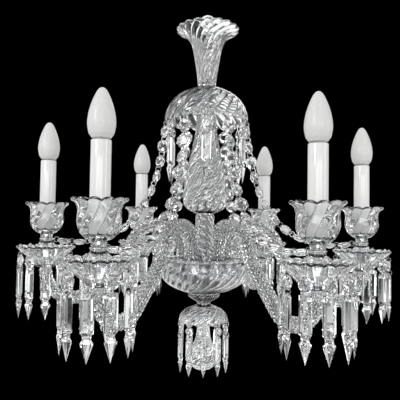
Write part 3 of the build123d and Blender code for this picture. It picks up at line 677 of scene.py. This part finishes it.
def make_bell():
    rim, high, top_turn = -505.5, 30.0, 110
    line = [(41.0, rim)] + raised([(40.3, 0.20), (38.0, 0.43), (29.6, 0.70), (17.0, 0.88)],
                                  rim, high) + [(10.8, rim + high)]
    outer = spline(line, 5)
    inner = [point for point in inset(outer, GLASS_WALL) if point[1] < rim + high - END_WALL]
    inner = [(max(r, 10.0), z) for r, z in inner] + [(10.0, rim + high - END_WALL)]
    outer, inner = (part[::-1] for part in rounded(outer[::-1], inner[::-1]))
    rib = ramp((0, 1.4), (0.5, 1.9), (0.9, 0.8), (1, 0.2))
    rise = ramp((0, 3.4), (0.12, 2.2), (0.25, 0), (1, 0))
    turn = ramp((0, 0), (0.4, 28), (0.8, 70), (1, top_turn))
    rings = ringed(outer, rib, turn, rise)
    rings.append((ROD_BORE, rim + high, 0, 0, top_turn))
    rings.append((ROD_BORE, rim + high - END_WALL, 0, 0, top_turn))
    rings += ringed(inner, lambda share: faded(share, 0.15, 14) * rib(share),
                    turn, rise)[::-1]
    return turned(rings, 20, 8)


def make_finial():
    foot, high = -584.0, 83.0
    line = [(0.6, foot), (9.0, foot + 1.3)] + raised(
        [(17.0, 0.06), (28.0, 0.25), (22.0, 0.45), (13.0, 0.61)], foot, high)
    outer = spline(line + [(9.5, foot + high)], 6)
    rib = ramp((0, 0), (0.15, 0.8), (0.35, 1.8), (0.7, 1.2), (1, 0.5))
    turn = ramp((0, -60), (0.3, -25), (0.6, 40), (1, 130))
    rings = [(max(r, 0.4), *rest) for r, *rest in ringed(outer, rib, turn)]
    return turned(rings, 16, 6, closed=False)


for name, made in (("crown_trumpet", make_trumpet()), ("canopy_dome", make_dome()),
                   ("baluster", make_baluster()), ("stem_column", make_stem()),
                   ("bowl", make_bowl()), ("neck_dish", make_neck_dish()),
                   ("lower_bell", make_bell()), ("finial", make_finial())):
    piece(name + "_glass", made, [moulded_glass], "frame", [name])


# --- Arms --------------------------------------------------------------------
# Straight runs as (length,) and bends as (radius, turn in degrees), from the hub outward.
ARM_START = (38.0, -419.0)
ARM_MOVES = [(34.5,), (40.0, -90), (46.0, -68.0), (13.168,), (60.0, 23.0), (69.851,),
             (45.0, 135.0), (3.0,)]
ARM_FACETS = 9
ARM_RADIUS = 11.0
ARM_BORE = 3.5
ARM_CUT = 1.5
ARM_DIAMOND = 7.6


def arm_path(step):
    """Points and headings along the arm's line, about a step apart, as (r, z, heading)."""
    x, z = ARM_START
    heading, out = pi / 2, []
    for move in ARM_MOVES:
        length = move[0] if len(move) == 1 else move[0] * abs(radians(move[1]))
        bend = 0.0 if len(move) == 1 else radians(move[1]) / length
        count = max(1, round(length / step))
        for place in range(count):
            out.append((x, z, heading))
            part = length / count
            middle = heading + bend * part / 2
            chord = part if bend == 0 else 2 / abs(bend) * sin(abs(bend) * part / 2)
            x, z = x + chord * cos(middle), z + chord * sin(middle)
            heading += bend * part
    return out + [(x, z, heading)]


def make_arm():
    """A cut glass tube: rows of small raised diamonds with cut channels between them."""
    path = arm_path(ARM_DIAMOND / 2)
    columns, rows = 2 * ARM_FACETS, len(path)
    points, faces = [], []
    for cut in (True, False):
        for row, (x, z, heading) in enumerate(path):
            side = (-sin(heading), cos(heading))
            for column in range(columns):
                a = 2 * pi * column / columns
                reach = ARM_BORE
                if cut:
                    peak = (row + column) % 2 and 0 < row < rows - 1
                    reach = ARM_RADIUS - (0 if peak else ARM_CUT)
                points.append((x + reach * cos(a) * side[0], reach * sin(a),
                               z + reach * cos(a) * side[1]))
    inner = rows * columns
    for row in range(rows - 1):
        for column in range(columns):
            nxt = (column + 1) % columns
            a, b = row * columns + column, row * columns + nxt
            c, d = b + columns, a + columns
            if (row + column) % 2:
                faces += [(a, d, b), (b, d, c)]
            else:
                faces += [(a, d, c), (a, c, b)]
            faces.append((inner + a, inner + b, inner + c, inner + d))
    for column in range(columns):
        nxt = (column + 1) % columns
        last = (rows - 1) * columns
        faces.append((column, nxt, inner + nxt, inner + column))
        faces.append((last + nxt, last + column, inner + last + column, inner + last + nxt))
    return Shape().add(points, faces)


# --- Candles -----------------------------------------------------------------
CANDLE_BORE = 4.6


def make_bobeche():
    foot, high, wall = -418.0, 34.0, 3.0
    line = [(9.4, foot)] + raised([(16.5, 0.06), (21.0, 0.29), (33.0, 0.58), (43.0, 0.86)],
                                  foot, high) + [(48.0, foot + high)]
    outer = spline(line, 5)
    # The inside stays clear of the cup's seat.
    inner = [point for point in inset(outer, wall) if point[1] > foot + 9 and point[0] > 17]
    inner = [(14.4, foot + END_WALL)] + inner
    rib = ramp((0, 0), (0.25, 0.8), (0.6, 2.0), (0.85, 3.0), (1, 4.8))
    rise = ramp((0, 0), (0.8, 0), (1, -2.0))
    turn = ramp((0, 0), (1, 0))
    return shell(outer, inner, CANDLE_BORE, rib, rise, turn, 20, 8, inner_rib=0.8)


def make_cup():
    foot, bottom, high, rim = -413.0, -360.0, 48.0, -312.0
    foot_turn = -50
    base = [(13.0, foot), (15.7, foot + 13), (18.5, foot + 26), (18.5, foot + 29),
            (13.5, foot + 33), (10.6, foot + 38), (9.75, foot + 42), (9.75, bottom - 5),
            (10.6, bottom - 2)]
    body = spline([(16.0, bottom), (23.0, bottom + 0.15 * high), (27.2, bottom + 0.38 * high),
                   (26.5, bottom + 0.70 * high), (29.5, bottom + 0.88 * high), (36.0, rim)], 5)
    inner = [point for point in inset(body, GLASS_WALL) if point[1] > bottom + 6.5]
    inner = [(16.0, bottom + 6)] + inner
    body, inner = rounded(body, inner)
    rings = [(r, z, 0.8 if r > 12 else 0.3, 0, foot_turn) for r, z in base]
    rib = ramp((0, 0.4), (0.2, 1.8), (0.7, 2.0), (0.88, 3.0), (1, 6.0))
    rise = ramp((0, 0), (0.85, 0), (1, -3.2))
    turn = ramp((0, foot_turn), (0.75, -6), (1, 0))
    rings += ringed(body, rib, turn, rise)
    rings += ringed(inner, lambda share: faded(1 - share, 0.2, 14) * rib(share),
                    turn, rise)[::-1]
    rings += [(CANDLE_BORE, bottom + 6, 0, 0, foot_turn), (CANDLE_BORE, foot, 0, 0, foot_turn)]
    return turned(rings, 12, 10)


def plain(line):
    """The rings of a turned line without ribs."""
    return [(r, z, 0, 0, 0) for r, z in line]


def make_sleeve():
    low, high = -354.0, -240.0
    line = [(12.5, low), (12.5, low + 40), (12.5, low + 80), (12.5, high - 0.9),
            (12.35, high - 0.35), (12.0, high), (11.6, high - 0.2), (11.4, high - 1.0),
            (11.4, low)]
    return turned(plain(line), 8, 8)


def make_bulb():
    """Frosted torpedo with its lip, and a screw cap with a rolled thread."""
    foot, high = -237.5, 62.5
    tip, threads, pitch = 0.3, 9, 2.0
    line = [(11.7, foot), (13.4, foot + 2.6)] + raised(
        [(15.6, 0.10), (17.5, 0.28), (16.2, 0.49), (12.6, 0.70), (7.6, 0.89), (4.2, 0.97),
         (1.4, 0.997)], foot, high) + [(tip, foot + high)]
    glass = [(9.0, foot)] + [(max(r, tip), z) for r, z in spline(line, 4)]
    cap = [(2.5, foot - 24), (5.2, foot - 23.4), (6.4, foot - 22)]
    for step in range(threads):
        z = foot - 20.5 + pitch * step
        cap += [(7.0, z), (6.3, z + pitch / 2)]
    cap += [(7.0, foot - 2.2), (9.6, foot - 1.5), (10.2, foot - 0.1)]
    shape = turned(plain(glass), 8, 6, closed=False)
    return shape.add_shape(turned(plain(cap), 8, 4, closed=False), slot=1)


arm, bobeche, cup = make_arm(), make_bobeche(), make_cup()
sleeve, bulb = make_sleeve(), make_bulb()
BOBECHE_TURNS = [4, 28, 6, 30, 18, 32]
HOLE_CIRCLE = 43
HOLE_STEP = 36
ARM_ROOM = ARM_RADIUS + 0.3


def drop_angles(azimuth, turn):
    """The azimuths of the drops on one bobeche: each hole but the one over its arm."""
    kept = []
    for angle in range(0, 360, HOLE_STEP):
        off = radians(angle + turn - azimuth - 180)
        beside = HOLE_CIRCLE * abs(sin(off)) - LONG_PRISM_WIDTH / 2 * abs(cos(off))
        if cos(off) < 0 or beside > ARM_ROOM:
            kept.append(angle + turn)
    return kept


# A pin through a bobeche: a bead on top, a wire down, and a ring to hang from.
PIN = Shape()
PIN.add_shape(ball(1.6))
PIN.add_shape(bar(0.35, -12, -1, 10))
PIN.add_shape(torus(3.2, 0.4), at(0, -15.2))
PIN_TOP, PIN_HANG = -381.83, -399.93
# Under the lower hole of a drop's octagon: the middle of its ring, and the top of its prism.
DROP_RING = torus(4.55, 0.4)
RING_BELOW, PRISM_BELOW = 4.25, 5


def pendant(crystals, wires, place, octagon_shape, size, prism_shape, seed):
    """Octagon, ring and prism hung from the octagon's upper hole at the given place."""
    lower = -(size - 2 * HOLE_INSET)
    crystals.add_shape(octagon_shape, place @ at(0, lower / 2) @ sway(seed, 5))
    wires.add_shape(DROP_RING, place @ at(0, lower - RING_BELOW))
    crystals.add_shape(prism_shape, place @ at(0, lower - PRISM_BELOW) @ sway(seed + 7.3, 7))


def hung(name, crystals, wires, body, node, kind):
    """The two pieces that replace one node of crystals: its glass, and its rings or wires."""
    piece(f"{name}_crystals", crystals, [cut_glass], body, [node], FACETED)
    piece(f"{name}_{kind}", wires, [nickel], body, [node], SMOOTH)


drop_crystals, drop_wires = Shape(), Shape()
for number, (azimuth, turn) in enumerate(zip(AZIMUTHS, BOBECHE_TURNS), start=1):
    upright = candle(azimuth)
    for name, part, made, matrix, finishes, body, slot, angle in (
            ("arm", "glass", arm, toward(azimuth), [cut_glass], "frame", "crystal", FACETED),
            ("bobeche", "glass", bobeche, upright @ spun(turn), [moulded_glass], "frame",
             "crystal", MOULDED),
            ("cup", "glass", cup, upright, [moulded_glass], "frame", "crystal", MOULDED),
            ("sleeve", "tube", sleeve, upright, [sleeve_white], "frame", "white_sleeve", SMOOTH),
            ("bulb", "lamp", bulb, upright, [frosted, brass_cap], f"bulb_{number}",
             "frosted_glass", SMOOTH)):
        piece(f"{name}_{number}_{part}", Shape().add_shape(made, matrix), finishes, body,
              [f"{name}_{number}"], angle)
    for place, angle in enumerate(drop_angles(azimuth, turn)):
        top = upright @ toward(angle)
        drop_wires.add_shape(PIN, top @ at(HOLE_CIRCLE, PIN_TOP))
        pendant(drop_crystals, drop_wires, top @ at(HOLE_CIRCLE, PIN_HANG), DROP_OCTAGON,
                DROP_SIZE, LONG_PRISM, number * 10 + place)
hung("bobeche_drop", drop_crystals, drop_wires, "frame", "bobeche_drops", "wires")

# --- Garlands, and the drops of the dome and of the bell -------------------------
# The ends of a garland's rings and octagons in turn, as (distance from the axis, height).
LINKS = [(68.25, -169.5), (68.82, -177.48), (70.48, -195.4), (71.4, -203.35), (73.96, -221.17),
         (75.33, -229.05), (79.01, -246.67), (80.93, -254.44), (85.99, -271.71), (88.61, -279.27),
         (95.43, -295.93), (98.92, -303.12), (107.93, -318.71), (112.49, -325.28),
         (124.08, -339.05), (129.83, -344.61), (144.09, -355.6), (150.95, -359.72),
         (167.35, -367.12), (174.97, -369.57), (192.59, -373.27), (200.54, -374.16),
         (218.53, -374.67), (226.52, -374.31), (244.41, -372.33), (252.3, -371.0)]
LINK_RING = torus(4.3, 0.42, 22)
LINK_BELOW = 4
BELL_HOLES = (39.25, -502.5)
# The octagons of the two garlands seen from the side turn more than the others.
SIDE_AZIMUTHS = (90, 270)
BEAD_TURN, SIDE_BEAD_TURN = 20, 50


def link_turns(number, most):
    """How far each link of a garland leans from the upright and turns about its own line.

    The octagons turn up to most degrees, less where the garland runs flatter, and each ring
    by the mean of its neighbours."""
    leans = [atan2(upper[0] - lower[0], upper[1] - lower[1])
             for upper, lower in zip(LINKS, LINKS[1:])]
    turns = [most * sin(1.9 * place + 2.3 * number) * max(0.0, 1.4 * cos(lean) - 0.4)
             for place, lean in enumerate(leans)]
    for place in range(0, len(turns), 2):
        near = [turns[beside] for beside in (place - 1, place + 1) if 0 <= beside < len(turns)]
        turns[place] = sum(near) / len(near)
    return zip(leans, turns)


def hang_drop(crystals, wires, top, octagon_shape, size, prism_shape, seed):
    """A drop on its ring, from a hole in a glass rim."""
    wires.add_shape(LINK_RING, top @ at(0, -LINK_BELOW))
    pendant(crystals, wires, top @ at(0, -2 * LINK_BELOW), octagon_shape, size, prism_shape,
            seed)


for number, azimuth in enumerate(AZIMUTHS, start=1):
    beads, wires = Shape(), Shape()
    most = SIDE_BEAD_TURN if azimuth in SIDE_AZIMUTHS else BEAD_TURN
    links = zip(LINKS, LINKS[1:], link_turns(number, most))
    for place, (upper, lower, (lean, turn)) in enumerate(links):
        spot = toward(azimuth) @ at((upper[0] + lower[0]) / 2, (upper[1] + lower[1]) / 2)
        spot = spot @ Matrix.Rotation(lean, 4, "Y") @ spun(turn)
        if place % 2:
            beads.add_shape(STRAND_OCTAGON, spot)
        else:
            wires.add_shape(LINK_RING, spot)
    hung(f"strand_{number}", beads, wires, f"strand_{number}", f"strand_{number}", "rings")
    crystals, wires = Shape(), Shape()
    hang_drop(crystals, wires, toward(azimuth - 30) @ at(*LINKS[0]), DROP_OCTAGON, DROP_SIZE,
              LONG_PRISM, 80 + number)
    hung(f"dome_drop_{number}", crystals, wires, f"dome_drop_{number}",
         f"dome_drop_{number}", "rings")

crystals, wires = Shape(), Shape()
for place, angle in enumerate(range(0, 360, HOLE_STEP)):
    hang_drop(crystals, wires, toward(angle) @ at(*BELL_HOLES), BELL_OCTAGON, BELL_SIZE,
              BELL_PRISM, 100 + place)
hung("bell_drop", crystals, wires, "frame", "bell_drops", "rings")

# --- Floor, light and camera, in metres ------------------------------------------
FLOOR_RADIUS, FLOOR_HEIGHT, FLOOR_SIDES = 2.8, -1.9, 64
made, tree, shader = material("plain_floor")
floor_tint = tint(tree, noise(tree, 6.0), (0.72, 0.72, 0.71, 1), (0.76, 0.76, 0.75, 1))
tree.links.new(floor_tint, shader.inputs["Base Color"])
shader.inputs["Roughness"].default_value = 0.8
mesh = bpy.data.meshes.new("floor")
mesh.from_pydata([(FLOOR_RADIUS * sin(2 * pi * s / FLOOR_SIDES),
                   -FLOOR_RADIUS * cos(2 * pi * s / FLOOR_SIDES), FLOOR_HEIGHT)
                  for s in range(FLOOR_SIDES)], [], [tuple(range(FLOOR_SIDES))])
mesh.materials.append(made)
floor = bpy.data.objects.new("floor", mesh)
bpy.context.scene.collection.objects.link(floor)

world = bpy.data.worlds.new("studio")
bpy.context.scene.world = world
world.use_nodes = True
tree = world.node_tree
tree.nodes.clear()
where = add_node(tree, "ShaderNodeTexCoord").outputs["Generated"]
split = add_node(tree, "ShaderNodeSeparateXYZ")
tree.links.new(where, split.inputs["Vector"])
y, z = split.outputs["Y"], split.outputs["Z"]


def calc(operation, a, b=None):
    """A Math node. a and b are numbers or sockets."""
    node = add_node(tree, "ShaderNodeMath")
    node.operation = operation
    for socket, value in zip(node.inputs, (a, b)):
        if value is None:
            continue
        if isinstance(value, (int, float)):
            socket.default_value = value
        else:
            tree.links.new(value, socket)
    return node.outputs["Value"]


def away(value, middle):
    """How far a value lies from a middle one."""
    return calc("ABSOLUTE", calc("SUBTRACT", value, middle))


def band(low, high, source, bottom, top):
    """A soft step from bottom to top while the source goes from low to high."""
    return ranged(tree, source, low, high, bottom, top, "SMOOTHSTEP")


def cloud(scale, detail, shift):
    """A noise over the directions of the world."""
    mapping = add_node(tree, "ShaderNodeMapping")
    mapping.inputs["Location"].default_value = shift
    tree.links.new(where, mapping.inputs["Vector"])
    texture = add_node(tree, "ShaderNodeTexNoise", Scale=scale, Detail=detail, Roughness=0.6)
    tree.links.new(mapping.outputs["Vector"], texture.inputs["Vector"])
    return texture.outputs["Fac"]


# What glass and metal show: soft grey and pale parts near the horizon, with thin dark and
# thin bright bands in them, and harder pale and dark panels above and below.
calm = band(0.42, 0.58, cloud(2.6, 2.0, (0, 0, 0)), 0.27, 1.0)
dark = band(0.012, 0.055, away(cloud(2.6, 2.0, (3, 1, 7)), 0.5), 0.04, 1.0)
bright = band(0.008, 0.035, away(cloud(2.2, 1.0, (9, 4, 2)), 0.5), 1.5, 0.0)
panel = band(0.47, 0.53, cloud(3.4, 1.0, (5, 2, 8)), 0.03, 1.25)
steep = band(0.22, 0.45, calc("ABSOLUTE", z), 0.0, 1.0)
calm = calc("ADD", calm, calc("MULTIPLY", steep, calc("SUBTRACT", panel, calm)))
sparkle = calc("ADD", calc("MULTIPLY", calm, dark), bright)
# The light falls off a little with height.
upward = calc("MULTIPLY", z, 0.25)
sparkle = calc("MULTIPLY", sparkle, calc("SUBTRACT", 1.0, upward))
# Above the horizon it is darker behind the chandelier, and a bright strip lies before it.
behind = calc("MULTIPLY", band(0.80, 0.97, y, 0.0, 0.74), band(-0.08, 0.04, z, 0.0, 1.0))
sparkle = calc("MULTIPLY", sparkle, calc("SUBTRACT", 1.0, behind))
ahead = band(0.78, 0.84, calc("MULTIPLY", y, -1.0), 0.0, 1.0)
strip = band(0.07, 0.10, away(z, 0.13), 3.6, 0.0)
sparkle = calc("ADD", sparkle, calc("MULTIPLY", ahead, strip))
# What matt surfaces are lit by.
soft = calc("ADD", 0.85, upward)

# The camera itself sees black where there is nothing in front of it.
path = add_node(tree, "ShaderNodeLightPath")
mirror = calc("MAXIMUM", path.outputs["Is Glossy Ray"], path.outputs["Is Transmission Ray"])
light = add_node(tree, "ShaderNodeMix")
tree.links.new(mirror, light.inputs["Factor"])
tree.links.new(soft, light.inputs["A"])
tree.links.new(sparkle, light.inputs["B"])
unseen = calc("SUBTRACT", 1.0, path.outputs["Is Camera Ray"])
glow = add_node(tree, "ShaderNodeBackground")
tree.links.new(calc("MULTIPLY", light.outputs["Result"], unseen), glow.inputs["Strength"])
out = add_node(tree, "ShaderNodeOutputWorld")
tree.links.new(glow.outputs["Background"], out.inputs["Surface"])

LAMP_TARGET = Vector((0, 0, -0.3))


def softbox(name, place, size, power):
    """A rectangular lamp aimed at the middle of the chandelier, size in metres, power in watts."""
    data = bpy.data.lights.new(name, "AREA")
    data.shape = "RECTANGLE"
    data.size, data.size_y = size
    data.energy = power
    lamp = bpy.data.objects.new(name, data)
    lamp.location = place
    lamp.rotation_euler = (LAMP_TARGET - Vector(place)).to_track_quat("-Z", "Y").to_euler()
    lamp.visible_camera = False
    bpy.context.scene.collection.objects.link(lamp)


softbox("key_softbox", (-1.6, -1.7, 0.6), (0.5, 0.9), 14)
softbox("side_softbox", (2.0, -0.9, 0.1), (0.3, 1.1), 5)
softbox("back_softbox", (0.6, 2.0, 0.8), (1.3, 1.0), 4)

CAMERA_AZIMUTH, CAMERA_DISTANCE, CAMERA_HEIGHT = -1.22, 0.820, -0.3341
CAMERA_YAW, CAMERA_PITCH, CAMERA_ROLL = -0.61, 2.23, 0.87
FOCAL_PIXELS, PHOTO_PIXELS, SENSOR_WIDTH = 486.0, 400, 36.0
data = bpy.data.cameras.new("camera")
data.sensor_width = SENSOR_WIDTH
data.lens = FOCAL_PIXELS / PHOTO_PIXELS * SENSOR_WIDTH
camera = bpy.data.objects.new("camera", data)
a = radians(CAMERA_AZIMUTH)
stand = Matrix.Translation((CAMERA_DISTANCE * sin(a), -CAMERA_DISTANCE * cos(a), CAMERA_HEIGHT))
yaw = Matrix.Rotation(a - radians(CAMERA_YAW), 4, "Z")
pitch = Matrix.Rotation(pi / 2 + radians(CAMERA_PITCH), 4, "X")
camera.matrix_world = stand @ (yaw @ pitch) @ spun(CAMERA_ROLL)
bpy.context.scene.collection.objects.link(camera)
bpy.context.scene.camera = camera

scene = bpy.context.scene
scene.view_settings.view_transform = "Standard"
